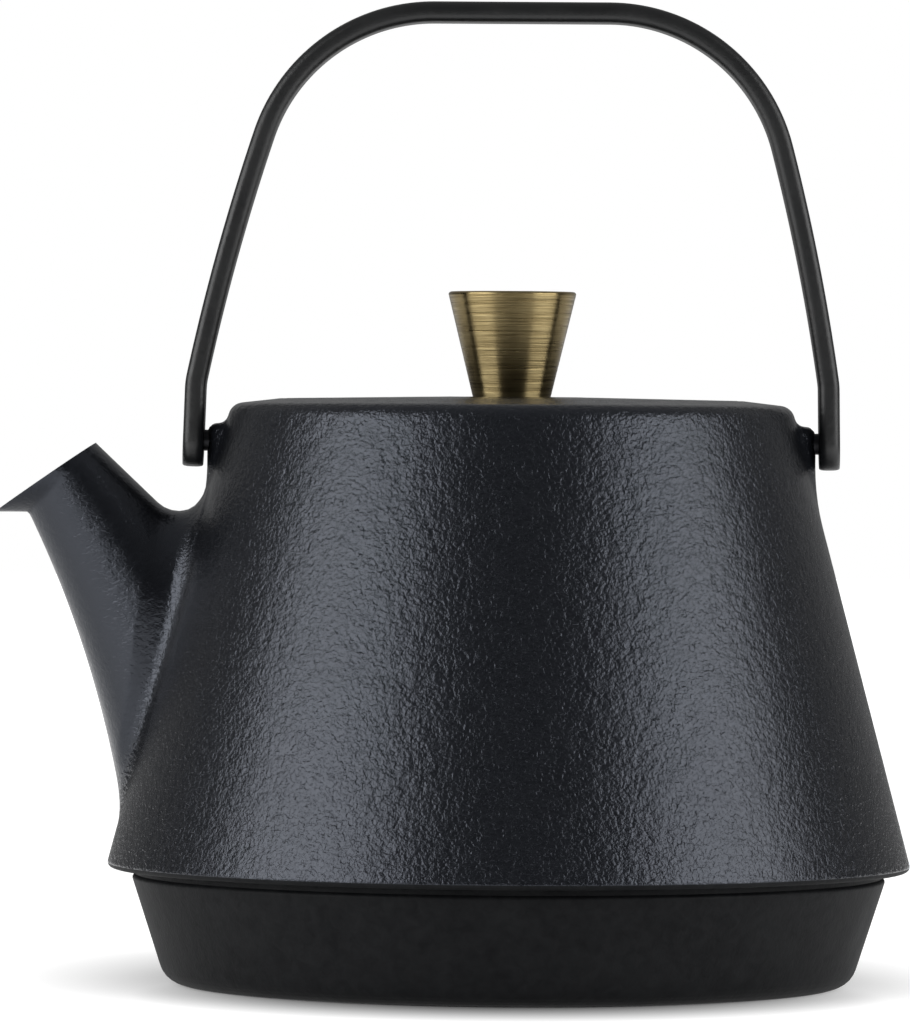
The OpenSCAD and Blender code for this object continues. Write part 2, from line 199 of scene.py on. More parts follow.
def finish_mesh(piece, sharp_angle=35):
    """Joins doubled points, turns the faces outwards and sets the shading."""
    mesh = piece.data
    bm = bmesh.new()
    bm.from_mesh(mesh)
    bmesh.ops.remove_doubles(bm, verts=bm.verts, dist=1e-7)
    bmesh.ops.recalc_face_normals(bm, faces=bm.faces)
    bm.to_mesh(mesh)
    bm.free()
    mesh.shade_smooth()
    mesh.set_sharp_from_angle(angle=math.radians(sharp_angle))


def apply_modifiers(piece):
    """Applies the piece's modifiers."""
    graph = bpy.context.evaluated_depsgraph_get()
    mesh = bpy.data.meshes.new_from_object(piece.evaluated_get(graph))
    piece.modifiers.clear()
    piece.data = mesh


def cut_away(piece, *tools):
    """Takes closed tool meshes out of a closed piece, and deletes the tools."""
    for tool in tools:
        modifier = piece.modifiers.new("cut", "BOOLEAN")
        modifier.operation = "DIFFERENCE"
        modifier.solver = "MANIFOLD"
        modifier.object = tool
    apply_modifiers(piece)
    for tool in tools:
        bpy.data.objects.remove(tool)


def revolve(name, profile, around=192, closed=False, sharp_angle=35):
    """Turns a profile of (r, z) points about Z. Points on the axis become one vertex."""
    angles = np.arange(around) * 2 * math.pi / around
    points, rings = [], []
    for r, z in profile:
        start = len(points)
        if r < 1e-6:
            points.append((0, 0, z))
            rings.append([start] * around)
        else:
            points += [(r * math.cos(a), r * math.sin(a), z) for a in angles]
            rings.append(list(range(start, start + around)))
    pairs = list(zip(rings, rings[1:])) + ([(rings[-1], rings[0])] if closed else [])
    faces = []
    for low, high in pairs:
        for i in range(around):
            j = (i + 1) % around
            face = [low[i], low[j], high[j], high[i]]
            faces.append(list(dict.fromkeys(face)))
    return make_mesh(name, points, [f for f in faces if len(f) > 2], sharp_angle)


def loft(name, rings):
    """A closed solid through rings of points that all have the same count."""
    count = len(rings[0])
    points = [p for ring in rings for p in ring]
    faces = [list(range(count))[::-1], [len(points) - count + i for i in range(count)]]
    for k in range(len(rings) - 1):
        for i in range(count):
            j = (i + 1) % count
            low, high = k * count, (k + 1) * count
            faces.append([low + i, low + j, high + j, high + i])
    return make_mesh(name, points, faces)


# ---------- shape of the casting as a signed distance, in millimetres ----------


def cone_r(z):
    """The cone's radius at that height."""
    return BELT_R - CONE_SLOPE * (z - BELT_Z)


OUTSIDE = rounded([
    (0, 0, 0),
    (BASE_R, 0, BASE_ROUND),
    (BASE_TOP_R, BASE_TOP_Z, BASE_EDGE_ROUND),
    (GROOVE_R, BASE_TOP_Z, 0),
    (GROOVE_R, BELT_Z, 0),
    (BELT_R, BELT_Z, BELT_ROUND),
    (SHOULDER_R, SHOULDER_Z, SHOULDER_ROUND),
    (SEAT_R, RIM_Z, 0),
    (0, RIM_Z, 0)])


def outline_distance(outline, r, z):
    """Signed distance of points (r, z) from a closed outline, negative inside it."""
    nearest = np.full(r.shape, np.inf)
    inside = np.zeros(r.shape, bool)
    for (r0, z0), (r1, z1) in zip(outline, np.roll(outline, -1, axis=0)):
        dr, dz = r1 - r0, z1 - z0
        share = np.clip(((r - r0) * dr + (z - z0) * dz) / (dr * dr + dz * dz), 0, 1)
        gap = (r - r0 - share * dr) ** 2 + (z - z0 - share * dz) ** 2
        nearest = np.minimum(nearest, gap)
        if z0 != z1:
            inside ^= ((z0 > z) != (z1 > z)) & (r < r0 + (z - z0) * dr / dz)
    return np.where(inside, -1, 1) * np.sqrt(nearest)


# A line across the spout from its front edge to its back edge, with its half width, how sharp
# its front is, and its place from root (0) to mouth (1)
Chord = namedtuple("Chord", "front back width sharp place")


def spout_chords():
    """The spout's chords, from its root to its mouth."""
    back_corner = SPOUT_TIP + SPOUT_MOUTH * turned(SPOUT_MOUTH_SLOPE)
    foot = np.array([-cone_r(SPOUT_FOOT_Z), SPOUT_FOOT_Z])
    lip_root = SPOUT_TIP + np.array([SPOUT_LIP, 0])
    bend = meet(foot, turned(90 + FOOT_LEAN), lip_root, turned(90 + LIP_LEAN))

    def front(t):
        return (1 - t) ** 2 * foot + 2 * t * (1 - t) * bend + t * t * lip_root

    cone_dir = unit(np.array([CONE_SLOPE, 1.0]))
    back_meet = meet(back_corner, turned(-BACK_FALL), np.array([-cone_r(0), 0.0]), cone_dir)
    fillet = round_corner(back_meet + cone_dir, back_meet, back_corner, BACK_FILLET, FILLET_STEPS)
    chords = []
    for i in range(FILLET_STEPS):
        chords.append(Chord(front(ROOT_SHARE * i / FILLET_STEPS), fillet[i], ROOT_W, 0.0, 0.0))
    for t in np.linspace(0, 1, SPOUT_STEPS):
        ahead = front(ROOT_SHARE + (1 - ROOT_SHARE) * t)
        back = fillet[-1] + (back_corner - fillet[-1]) * t * (1 - MOUTH_STEP)
        chords.append(Chord(ahead, back, ROOT_W + (MOUTH_W - ROOT_W) * t, LIP_SHARP * t * t, t))
    chords.append(Chord(SPOUT_TIP, back_corner, MOUTH_W, LIP_SHARP, 1.0))
    return chords


CHORDS = spout_chords()


def place_on_chords(x, z):
    """Which chord each point lies on, and how far it is past the mouth and behind the root."""
    values = []
    for chord in CHORDS:
        across = chord.back - chord.front
        values.append(across[0] * (z - chord.front[1]) - across[1] * (x - chord.front[0]))
    place = np.zeros(x.shape)
    last = len(CHORDS) - 1
    for k in range(last):
        now, after = values[k], values[k + 1]
        here = (now > 0) & (after <= 0)
        place = np.where(here, k + now / np.where(here, now - after, 1), place)
    beyond = values[last] / np.linalg.norm(CHORDS[last].back - CHORDS[last].front)
    behind = -values[0] / np.linalg.norm(CHORDS[0].back - CHORDS[0].front) - ROOT_DEPTH
    return np.where(beyond > 0, last, place), beyond, behind


def spout_distance(x, y, z):
    """Signed distance from the spout's outside, which runs on a little past the mouth."""
    deepest, least_steep, least_q, least_v = -20, 0.02, 1e-6, 1e-4
    place, beyond, behind = place_on_chords(x, z)
    steps = np.arange(len(CHORDS))

    def at(pick):
        return np.interp(place, steps, [pick(chord) for chord in CHORDS])

    fx, fz = at(lambda c: c.front[0]), at(lambda c: c.front[1])
    ax, az = at(lambda c: c.back[0]) - fx, at(lambda c: c.back[1]) - fz
    width, sharp = at(lambda c: c.width), at(lambda c: c.sharp)
    length2 = ax * ax + az * az
    share = ((x - fx) * ax + (z - fz) * az) / length2
    half = np.where(share < WIDEST, WIDEST, 1 - WIDEST)
    u = (share - WIDEST) / half
    v = np.abs(y) / width
    power = np.where(share < WIDEST, 2 / (1 + sharp), 2)
    v_power = v ** power
    q = np.sqrt(u * u + v_power) + least_q
    slope_u = u / (half * np.sqrt(length2))
    slope_v = power / 2 * v_power / np.maximum(v, least_v) / width
    steep = np.sqrt(slope_u ** 2 + slope_v ** 2) / q
    inside = np.maximum((q - 1) / np.maximum(steep, least_steep), deepest)
    return np.maximum(np.maximum(inside, behind), beyond - MOUTH_SPARE)


def ear_distance(x, y, z):
    """Signed distance from the ear on the side where x is positive."""
    side = np.hypot(x - (EAR_X - EAR_R), y) - (EAR_R - EAR_ROUND)
    top = z - (EAR_TOP_Z - EAR_ROUND)
    outside = np.hypot(np.maximum(side, 0), np.maximum(top, 0))
    rounded_top = outside + np.minimum(np.maximum(side, top), 0) - EAR_ROUND
    return np.maximum(rounded_top, EAR_LOW_Z - z)


def casting_distance(x, y, z):
    """Signed distance from the outside of the whole casting."""
    body = outline_distance(OUTSIDE, np.hypot(x, y), z)
    gap = smooth_min(body, ear_distance(np.abs(x), y, z), EAR_BLEND)
    return smooth_min(gap, spout_distance(x, y, z), SPOUT_BLEND)


# ---------- meshing on a cylindrical grid ----------


def crossed_edges(field, grid, steps, axis):
    """The grid's edges along one axis that the surface crosses.

    Returns their first ends' (t, r, z) numbers, the places, and which first ends are inside."""
    low, high = [slice(None)] * 3, [slice(None)] * 3
    after = field
    if axis == 0:
        after = np.roll(field, -1, 0)
    else:
        low[axis], high[axis] = slice(None, -1), slice(1, None)
    first, second = field[tuple(low)], after[tuple(high)]
    edge = np.nonzero((first < 0) != (second < 0))
    f0, f1 = first[edge], second[edge]
    places = [values[number] for values, number in zip(grid, edge)]
    places[axis] = places[axis] + f0 / (f0 - f1) * steps[axis][edge[axis]]
    return edge, places, f0 < 0


def cells_beside(edge, axis, shift, index):
    """The cells on one side of those edges, -1 off the grid, and how far round they turned."""
    cell = list(edge)
    for other, step in zip([a for a in range(3) if a != axis], shift):
        cell[other] = cell[other] - 1 + step
    turn = np.where(cell[0] < 0, 2 * math.pi, 0)
    cell[0] = cell[0] % index.shape[0]
    valid = np.ones(len(turn), bool)
    for way in (1, 2):
        last = index.shape[way] - 1
        valid &= (cell[way] >= 0) & (cell[way] <= last)
        cell[way] = np.clip(cell[way], 0, last)
    return np.where(valid, index[tuple(cell)], -1), turn


def surface_net(field, theta, radius, height):
    """Vertices in the crossed cells of a grid that closes round theta, and the quads on them."""
    n_t, n_r, n_z = field.shape
    index = np.arange(n_t * (n_r - 1) * (n_z - 1)).reshape(n_t, n_r - 1, n_z - 1)
    sums = np.zeros((4, index.size))
    steps = (np.diff(theta, append=theta[0] + 2 * math.pi),
             np.diff(radius, append=radius[-1]),
             np.diff(height, append=height[-1]))
    quads = []
    for axis in range(3):
        edge, places, starts_inside = crossed_edges(field, (theta, radius, height), steps, axis)
        corners = []
        for shift in ((0, 0), (1, 0), (1, 1), (0, 1)):
            name, turn = cells_beside(edge, axis, shift, index)
            corners.append(name)
            valid = name >= 0
            rows = (places[0] + turn, places[1], places[2], np.ones(len(name)))
            for row, value in enumerate(rows):
                sums[row] += np.bincount(name[valid], value[valid], index.size)
        quad = np.stack(corners, 1)
        flip = starts_inside != (axis == 1)
        quad[flip] = quad[flip][:, ::-1]
        quads.append(quad[(quad >= 0).all(1)])
    used = sums[3] > 0
    name = np.cumsum(used) - 1
    at_t, at_r, at_z = (sums[row][used] / sums[3][used] for row in range(3))
    points = np.stack([at_r * np.cos(at_t), at_r * np.sin(at_t), at_z], 1)
    return points, name[np.concatenate(quads)]


def distance_slope(points, step=0.05):
    """The signed distance at the points, and which way it grows."""
    columns = points.T
    here = casting_distance(*columns)
    slope = np.zeros_like(points)
    for axis in range(3):
        moved = columns.copy()
        moved[axis] += step
        slope[:, axis] = (casting_distance(*moved) - here) / step
    return here, slope


def onto_surface(points, passes=2):
    """Moves points onto the casting's surface. Returns them with the surface's normals."""
    least_size2, longest_move = 0.2, 0.6
    for _ in range(passes):
        here, slope = distance_slope(points)
        size2 = np.maximum((slope ** 2).sum(1), least_size2)
        move = np.clip(here / size2, -longest_move, longest_move)
        points = points - slope * move[:, None]
    _, slope = distance_slope(points)
    return points, slope / np.linalg.norm(slope, axis=1)[:, None]


def grain_share(x, y, z):
    """How strongly the cast grain shows: fully on the cone, less on what stands proud of it."""
    loss, proud_from, proud_to, below_belt = 0.6, 0.6, 4.0, 0.3
    proud = np.hypot(x, y) - cone_r(z)
    on_cone = 1 - loss * smooth_step(proud_from, proud_to, proud)
    return np.where(z < BELT_Z - below_belt, 0.0, on_cone)


def roughen(points, normals, share, depth=0.04, size=2.4, seed=7.0):
    """Sinks points along their normals by a coarse cast grain, never outwards."""
    offset = Vector((seed, seed, seed))
    lift = np.array([noise.noise(Vector(p) / size + offset) for p in points])
    lift += 0.5 * np.array([noise.noise(Vector(p) * 2 / size - offset) for p in points])
    return points + normals * (depth * share * (np.clip(lift, -1, 1) - 1) / 2)[:, None]


# ---------- pieces ----------


def casting_grid():
    """The angles, radii and heights of the grid, close together at edges and at the spout."""
    fine_t, coarse_t = 0.0087, 0.0195
    theta = graded(-math.pi, math.pi, coarse_t, fine_t, [-math.pi, math.pi], SPOUT_ANGLE / 2)
    theta = theta[:-1] if theta[-1] > math.pi - fine_t / 2 else theta
    core_r, outer_r, coarse_r, fine_r, reach_r = 42.0, 99.6, 1.0, 0.4, 1.6
    lip_r = -SPOUT_TIP[0] - SPOUT_LIP
    edges_r = [BASE_R, GROOVE_R, BELT_R, SHOULDER_R, lip_r]
    radius = graded(core_r, outer_r, coarse_r, fine_r, edges_r, reach_r)
    low_z, high_z, coarse_z, fine_z, reach_z = -0.6, 112.5, 1.25, 0.30, 1.2
    edges_z = [0.0, BASE_CURVE_Z, BASE_TOP_Z, BELT_Z, SHOULDER_Z, RIM_Z]
    height = graded(low_z, high_z, coarse_z, fine_z, edges_z, reach_z)
    return theta, radius, height


def casting_outside():
    """The outside of the casting as one closed mesh, with its fillets and grain."""
    theta, radius, height = casting_grid()
    body = outline_distance(OUTSIDE, *np.meshgrid(radius, height, indexing="ij"))
    field = np.repeat(body[None], len(theta), 0)
    near_ears = np.minimum(np.abs(theta), math.pi - np.abs(theta)) < SPOUT_ANGLE
    t, r, z = np.meshgrid(theta[near_ears], radius, height, indexing="ij")
    field[near_ears] = casting_distance(r * np.cos(t), r * np.sin(t), z)
    points, quads = surface_net(field, theta, radius, height)
    points, normals = onto_surface(points)
    points = roughen(points, normals, grain_share(*points.T))
    piece = make_mesh("casting", points, quads.tolist())
    bm = bmesh.new()
    bm.from_mesh(piece.data)
    bmesh.ops.holes_fill(bm, edges=[e for e in bm.edges if e.is_boundary], sides=0)
    bmesh.ops.recalc_face_normals(bm, faces=bm.faces)
    bm.to_mesh(piece.data)
    bm.free()
    return piece


def hollow_tool():
    """What the core leaves open: the cavity, the filling hole and the lid's seat."""
    side_t = WALL_T * math.hypot(1, CONE_SLOPE)
    roof_z, step_z, over_z = LEDGE_Z - LEDGE_T, BELT_Z + WALL_T, RIM_Z + 2
    base_in_r = BASE_R + (BASE_TOP_R - BASE_R) * WALL_T / BASE_TOP_Z - WALL_T
    profile = rounded([
        (0, WALL_T, 0),
        (base_in_r, WALL_T, WALL_T),
        (GROOVE_R - WALL_T, BELT_Z, WALL_T),
        (cone_r(step_z) - side_t, step_z, WALL_T / 2),
        (cone_r(roof_z) - side_t, roof_z, SHOULDER_ROUND),
        (MOUTH_R, roof_z, LEDGE_ROUND),
        (MOUTH_R, LEDGE_Z, LEDGE_ROUND),
        (SEAT_R, LEDGE_Z, SEAT_ROUND),
        (SEAT_R, RIM_Z - EDGE_BREAK, 0),
        (SEAT_R + 2 * EDGE_BREAK, RIM_Z + EDGE_BREAK, 0),
        (SEAT_R + 2 * EDGE_BREAK, over_z, 0),
        (0, over_z, 0)])
    return revolve("hollow", profile)


def spout_ring(front, back, width, sharp, inset, sides=36):
    """One ring of points across the spout, teardrop shaped, drawn in by inset."""
    along = unit(back - front)
    front, back, width = front + along * inset, back - along * inset, width - inset
    ring = []
    for i in range(sides):
        a = 2 * math.pi * i / sides
        ahead = math.cos(a) > 0
        share = WIDEST * (1 - math.cos(a)) if ahead else WIDEST - (1 - WIDEST) * math.cos(a)
        side = abs(math.sin(a)) ** (1 + sharp) if ahead else abs(math.sin(a))
        x, z = front + share * (back - front)
        ring.append((x, math.copysign(side * width, math.sin(a)), z))
    return ring


def channel_tool():
    """The way through the spout, from inside the pot to past the mouth."""
    open_chords = [chord for chord in CHORDS if chord.place >= CHANNEL_START]
    past_mouth = 4 * turned(90 + SPOUT_MOUTH_SLOPE)
    inward = np.array([3 * WALL_T, 0])
    first, last = CHORDS[FILLET_STEPS], open_chords[-1]
    root = (open_chords[0].front + inward, first.back + inward - np.array([0, 2 * WALL_T]))
    rings = [spout_ring(*root, ROOT_W, 0, WALL_T)]
    for front, _, width, sharp, t in open_chords[:-1]:
        share = (t - CHANNEL_START) / (1 - CHANNEL_START)
        back = first.back + (open_chords[-2].back - first.back) * share
        rings.append(spout_ring(front, back, width, sharp, WALL_T + (SPOUT_WALL - WALL_T) * t))
    rings.append(spout_ring(last.front + past_mouth, last.back + past_mouth,
                            last.width, last.sharp, SPOUT_WALL))
    return loft("channel", rings)


def box_tool(name, corners):
    """A block across the spout with these (x, z) corners."""
    return loft(name, [[(x, side, z) for x, z in corners] for side in (-2 * MOUTH_W, 2 * MOUTH_W)])


def mouth_tool():
    """What is cut off above the mouth."""
    along, away = turned(SPOUT_MOUTH_SLOPE), turned(90 + SPOUT_MOUTH_SLOPE)
    low = SPOUT_TIP - CUT_SPARE * along
    high = SPOUT_TIP + (SPOUT_MOUTH + CUT_SPARE) * along
    return box_tool("mouth", [low, high, high + CUT_SPARE * away, low + CUT_SPARE * away])


def tip_tool():
    """What is cut off in front of the tip, which is left a little blunt."""
    low, high = SPOUT_TIP[1] - CUT_SPARE, SPOUT_TIP[1] + CUT_SPARE
    ahead = TIP_X - CUT_SPARE
    return box_tool("tip", [(ahead, low), (TIP_X, low), (TIP_X, high), (ahead, high)])


def pin_ring(x, radius):
    """Points round the pivots' axis."""
    angles = [2 * math.pi * i / PIN_SIDES for i in range(PIN_SIDES)]
    return [(x, radius * math.cos(a), PIVOT_Z + radius * math.sin(a)) for a in angles]


def stud_hole_tool(side):
    """The blind hole for the stud in one ear."""
    ends = (EAR_X - STUD_HOLE_DEPTH, EAR_X + EAR_GAP / 2)
    return loft("stud_hole", [pin_ring(side * x, STUD_R + STUD_PLAY) for x in ends])


def store_grain(piece):
    """Keeps how rough each vertex looks, for the material."""
    co = np.zeros(len(piece.data.vertices) * 3)
    piece.data.vertices.foreach_get("co", co)
    share = grain_share(*(co.reshape(-1, 3).T / MM))
    attribute = piece.data.attributes.new("grain", "FLOAT", "POINT")
    attribute.data.foreach_set("value", share.astype(np.float32))


def dress(piece, material):
    """Makes this the piece's only material."""
    piece.data.materials.clear()
    piece.data.materials.append(material)
    piece.data.polygons.foreach_set("material_index", [0] * len(piece.data.polygons))


def dress_base(piece, material):
    """Gives the faces below the belt, and those of its edge that look down, their own material."""
    looks_down, below_belt = -0.12, 0.05
    piece.data.materials.append(material)
    for face in piece.data.polygons:
        on_edge = face.center.z < (BELT_Z + BELT_ROUND) * MM and face.normal.z < looks_down
        if on_edge or face.center.z < (BELT_Z - below_belt) * MM:
            face.material_index = 1


def make_casting(material, below):
    """The hollow casting: body, base, spout and ears in one."""
    piece = casting_outside()
    cut_away(piece, mouth_tool(), tip_tool(), hollow_tool(), channel_tool(),
             stud_hole_tool(1), stud_hole_tool(-1))
    finish_mesh(piece)
    store_grain(piece)
    dress(piece, material)
    dress_base(piece, below)
    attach(piece, "pot")
    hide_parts("pot_body", "spout")


def divided(profile, step):
    """A closed outline with its long stretches cut into steps."""
    points = []
    for p, q in zip(profile, np.roll(profile, -1, axis=0)):
        count = max(1, round(np.linalg.norm(q - p) / step))
        points += [p + (q - p) * i / count for i in range(count)]
    return np.array(points)


def roughen_piece(piece, share):
    """Sinks a finished piece's surface by the cast grain."""
    mesh = piece.data
    count = len(mesh.vertices)
    co, normal = np.zeros(count * 3), np.zeros(count * 3)
    mesh.vertices.foreach_get("co", co)
    mesh.vertices.foreach_get("normal", normal)
    points = co.reshape(-1, 3) / MM
    points = roughen(points, normal.reshape(-1, 3), np.full(count, share))
    mesh.vertices.foreach_set("co", points.ravel() * MM)
    mesh.update()


def make_lid(material):
    """The lid, whose underside has the ring that centres it in the infuser."""
    outline_step, grain = 1.1, 0.8
    inner = SPIGOT_R - SPIGOT_T
    outline = rounded([
        (SCREW_HOLE_R, LID_TOP_Z, 0),
        (KNOB_TOP_R, LID_TOP_Z, 0),
        (LID_R, RIM_Z, LID_EDGE),
        (LID_R, LID_LOW_Z, LID_EDGE),
        (SPIGOT_R, LID_LOW_Z, LID_EDGE),
        (SPIGOT_R, SPIGOT_LOW_Z, LID_EDGE),
        (inner, SPIGOT_LOW_Z, LID_EDGE),
        (inner, LID_LOW_Z, LID_EDGE),
        (BOSS_R, LID_LOW_Z, LID_EDGE),
        (BOSS_R, LID_LOW_Z - BOSS_H, LID_EDGE / 2),
        (SCREW_HOLE_R, LID_LOW_Z - BOSS_H, 0)])
    piece = revolve("lid_casting", divided(outline, outline_step), closed=True)
    roughen_piece(piece, grain)
    store_grain(piece)
    dress(piece, material)
    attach(piece, "lid")
    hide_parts("lid")


def knob_side(top_z):
    """The knob's slanted side as (r, z) points, with its fine tool marks."""
    foot = np.array([KNOB_BASE_R, LID_TOP_Z])
    head = np.array([KNOB_TOP_R, top_z - KNOB_BEVEL])
    along = unit(head - foot)
    outwards = np.array([along[1], -along[0]])
    count = round(np.linalg.norm(head - foot) / TURNED_PITCH)
    side = []
    for i in range(2 * count + 1):
        sink = TURNED_DEPTH * (i % 2) * (0.5 + 0.5 * math.sin(TURNED_WAVE * i))
        side.append(tuple(foot + (head - foot) * i / (2 * count) - outwards * sink))
    return side


def knob_top(top_z):
    """The knob's bevel and its flat top as (r, z) points, with turned rings."""
    points = []
    for inward, down in ((0.1, 0.6), (0.5, 0.15), (1, 0)):
        points.append((KNOB_TOP_R - inward * KNOB_BEVEL, top_z - down * KNOB_BEVEL))
    rings = round((KNOB_TOP_R - KNOB_BEVEL) / TURNED_PITCH)
    for i in range(1, rings + 1):
        r = (KNOB_TOP_R - KNOB_BEVEL) * (1 - i / rings)
        points.append((r, top_z - TURNED_DEPTH * (i % 2)))
    return points


def make_knob(material):
    """The turned knob, with its threaded hole."""
    low, top_z, drill_tip = LID_TOP_Z, LID_TOP_Z + KNOB_H, 1
    bore = [
        (0, low + KNOB_BORE_H + drill_tip),
        (KNOB_BORE_R, low + KNOB_BORE_H),
        (KNOB_BORE_R, low + KNOB_CHAMFER),
        (KNOB_BORE_R + KNOB_CHAMFER, low)]
    foot = [(KNOB_BASE_R - KNOB_CHAMFER, low)]
    profile = bore + foot + knob_side(top_z) + knob_top(top_z)
    piece = revolve("turned_knob", profile, around=160, sharp_angle=50)
    dress(piece, material)
    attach(piece, "lid")
    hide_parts("lid_knob")


def bar_arc(centre, radius, first, last, step=2.0):
    """Stations along an arc: (point, outward angle)."""
    count = math.ceil((last - first) / step)
    angles = [first + (last - first) * i / count for i in range(1, count + 1)]
    return [(centre + radius * turned(a), a) for a in angles]


def arm_stations(side):
    """Stations up one arm of the bail, from its pivot to the flat top."""
    straight_steps, bow_step = 4, 0.3
    end, low = END_LEAN - side * END_SKEW, ARM_LEAN - side * ARM_SKEW
    high = low + ARM_TURN
    sin_end, sin_low, sin_high = (math.sin(math.radians(a)) for a in (end, low, high))
    start = HEEL_H - HEEL_BEND_R * math.tan(math.radians(low - end) / 2)
    rise = BAIL_H - CORNER_BEND_R * (1 - sin_high) - HEEL_BEND_R * (sin_low - sin_end)
    long_r = (rise - start * math.cos(math.radians(end))) / (sin_high - sin_low)
    pivot = np.array([BAIL_X, PIVOT_Z])
    stations = []
    for i in range(straight_steps + 1):
        stations.append((pivot + turned(90 + end) * start * i / straight_steps, end))
    heel = stations[-1][0] - HEEL_BEND_R * turned(end)
    middle = heel + (HEEL_BEND_R - long_r) * turned(low)
    corner = middle + (long_r - CORNER_BEND_R) * turned(high)
    stations += bar_arc(heel, HEEL_BEND_R, end, low)
    stations += bar_arc(middle, long_r, low, high, bow_step)
    stations += bar_arc(corner, CORNER_BEND_R, high, 90)
    return [(np.array([side * p[0], p[1]]), turned(a) * (side, 1)) for p, a in stations]


def bar_cap(pivot, outwards, after, out, inset):
    """Points from one end's tip to the bar's side, rounded with square corners."""
    away = -unit(after - pivot)
    points = []
    for degrees in range(90, 0, -10):
        a = math.radians(degrees)
        reach = BAR_W / 2 - inset * (1 - END_SQUARE * math.sin(a))
        place = pivot + away * reach * math.sin(a) + outwards * out
        points.append((place, (BAR_W / 2 - inset) * math.cos(a)))
    return points


def bar_loop(stations, out, inset):
    """Both halves of the loop round the bar at that distance out of its middle."""
    half = BAR_W / 2 - inset
    places = bar_cap(*stations[0], stations[1][0], out, inset)
    places += [(p + outwards * out, half) for p, outwards in stations]
    places += bar_cap(*stations[-1], stations[-2][0], out, inset)[::-1]
    return [(p[0], -w, p[1]) for p, w in places], [(p[0], w, p[1]) for p, w in places]


def bar_layers():
    """The bar's rounded edges: how far out of its middle each layer is, and how far in."""
    turns = [math.radians(degrees) for degrees in (90, 67.5, 45, 22.5, 0)]
    layers = []
    for side in (-1, 1):
        edge = [(side * (BAR_T / 2 - BAR_EDGE + BAR_EDGE * math.sin(a)),
                 BAR_EDGE * (1 - math.cos(a))) for a in turns]
        layers += edge if side < 0 else edge[::-1]
    return layers


def bar_mesh(stations):
    """The closed bar along those stations, skinned layer by layer."""
    layers = bar_layers()
    points, faces = [], []
    for out, inset in layers:
        near, far = bar_loop(stations, out, inset)
        points += near + far
    count = len(near)
    loop = 2 * count
    for k in range(len(layers) - 1):
        for i in range(count - 1):
            for j in (k * loop + i, k * loop + i + count):
                faces.append([j, j + 1, j + 1 + loop, j + loop])
    for k in (0, len(layers) - 1):
        for j in range(k * loop, k * loop + count - 1):
            faces.append([j, j + 1, j + 1 + count, j + count])
    return make_mesh("bail_bar", points, faces)


def make_bail(material):
    """The bent flat bar with rounded edges and ends, bored for its studs."""
    piece = bar_mesh(arm_stations(1) + arm_stations(-1)[::-1])
    holes = []
    for side in (-1, 1):
        ends = (BAIL_X - BAR_T, BAIL_X + BAR_T)
        holes.append(loft("pin_hole", [pin_ring(side * x, STUD_R + STUD_PLAY / 2) for x in ends]))
    cut_away(piece, *holes)
    finish_mesh(piece)
    dress(piece, material)
    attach(piece, "bail")
    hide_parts("bail")


# Corners and middles of a tile's sides, from -1 to 1, and the wall's outer and inner radius
TILE = [(1, 0), (1, 1), (0, 1), (-1, 1), (-1, 0), (-1, -1), (0, -1), (1, -1)]
SHEET_SIDES = (BASKET_R, BASKET_R - SHEET_T)


def add_point(points, angle, z, r):
    """Adds a point on the basket's wall, and returns its number."""
    points.append((r * math.cos(angle), r * math.sin(angle), z))
    return len(points) - 1


def add_tile(points, faces, angle, z, half_a, half_z):
    """Adds one tile of the wall with its hole: both skins, and the hole's own wall."""
    turns = [math.atan2(v, u) for u, v in TILE]
    rims, holes = [], []
    for r in SHEET_SIDES:
        rims.append([add_point(points, angle + u * half_a, z + v * half_z, r) for u, v in TILE])
        holes.append([add_point(points, angle + PUNCHED_R * math.cos(t) / BASKET_R,
                                z + PUNCHED_R * math.sin(t), r) for t in turns])
    for i in range(len(TILE)):
        j = (i + 1) % len(TILE)
        for rim, hole in zip(rims, holes):
            faces.append([rim[i], rim[j], hole[j], hole[i]])
        faces.append([holes[0][i], holes[0][j], holes[1][j], holes[1][i]])


def add_band(points, faces, low_z, high_z, edge_z, half_a):
    """Adds a plain band round the wall, closed at its edge."""
    outer, inner = SHEET_SIDES
    for i in range(2 * PUNCHED_COLUMNS):
        a0, a1 = half_a * i, half_a * (i + 1)
        skin = ((a0, low_z), (a1, low_z), (a1, high_z), (a0, high_z))
        for r in SHEET_SIDES:
            faces.append([add_point(points, a, z, r) for a, z in skin])
        rim = ((a0, outer), (a1, outer), (a1, inner), (a0, inner))
        faces.append([add_point(points, a, edge_z, r) for a, r in rim])


def make_infuser_wall(material):
    """The basket's wall, punched with staggered round holes between two plain bands."""
    half_a = math.pi / PUNCHED_COLUMNS
    half_z = (PUNCHED_HIGH_Z - PUNCHED_LOW_Z) / PUNCHED_ROWS / 2
    low_z, high_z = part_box("infuser_wall")[0].z / MM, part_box("infuser_wall")[1].z / MM
    points, faces = [], []
    for row in range(PUNCHED_ROWS):
        z = PUNCHED_LOW_Z + half_z * (2 * row + 1)
        for column in range(PUNCHED_COLUMNS):
            add_tile(points, faces, half_a * (2 * column + row % 2), z, half_a, half_z)
    add_band(points, faces, low_z, PUNCHED_LOW_Z, low_z, half_a)
    add_band(points, faces, PUNCHED_HIGH_Z, high_z, high_z, half_a)
    piece = make_mesh("punched_wall", points, faces)
    dress(piece, material)
    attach(piece, "infuser")
    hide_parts("infuser_wall")


# ---------- materials ----------

# Most of a noise texture's values lie in this range
NOISE_RANGE = (0.3, 0.7)
ENAMEL_TINT = (0.80, 0.86, 1.0, 1)


def new_material(name):
    """A new material. Returns it with its node tree, its shader and the piece's coordinates."""
    material = bpy.data.materials.new(name)
    material.use_nodes = True
    tree = material.node_tree
    where = tree.nodes.new("ShaderNodeTexCoord").outputs["Object"]
    return material, tree, tree.nodes["Principled BSDF"], where


